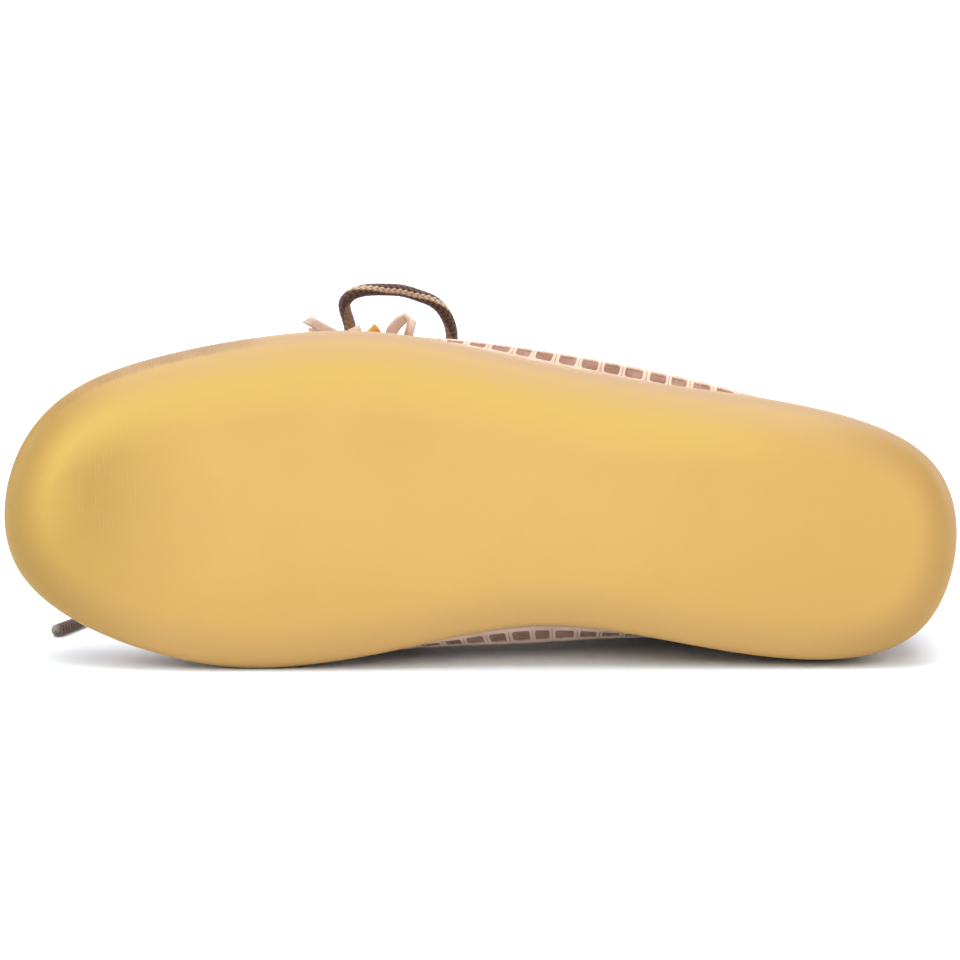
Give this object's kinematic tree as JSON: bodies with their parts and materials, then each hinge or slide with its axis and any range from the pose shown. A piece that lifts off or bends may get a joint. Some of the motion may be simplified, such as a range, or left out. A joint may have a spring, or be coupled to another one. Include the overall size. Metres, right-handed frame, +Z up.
{
  "type": "slip-on moccasin shoe",
  "caption": "Left slip-on moccasin with a gum rubber sole, woven suede upper, fringed kiltie and a tied lace, lying on its side with its sole showing.",
  "frame": {"origin": "centre of the underside of the box round the shoe as it lies, leaving out the knot, loops and ends of the lace; the floor is z = 0", "axes": "+X from toe to heel, +Z up from the floor, -Y out of the sole's underside, which leans back by about 11 degrees"},
  "size_m": [0.262, 0.1031, 0.0978],
  "materials": {
    "gum_rubber": "smooth gum rubber, slightly translucent",
    "nude_suede": "suede nap",
    "mustard_suede": "suede nap",
    "lining_leather": "smooth lining leather",
    "lace_cord": "round braided cord"
  },
  "bodies": {
    "root": {"outsole": "gum_rubber", "insole": "lining_leather", "upper": "nude_suede", "kiltie_under": "mustard_suede", "kiltie_top": "nude_suede", "lace_bar_medial": "lace_cord", "lace_bar_lateral": "lace_cord", "lace_knot": "lace_cord", "lace_loop_lateral": "lace_cord", "lace_loop_medial": "lace_cord", "lace_end_medial": "lace_cord", "lace_end_lateral": "lace_cord"}
  },
  "joints": []
}
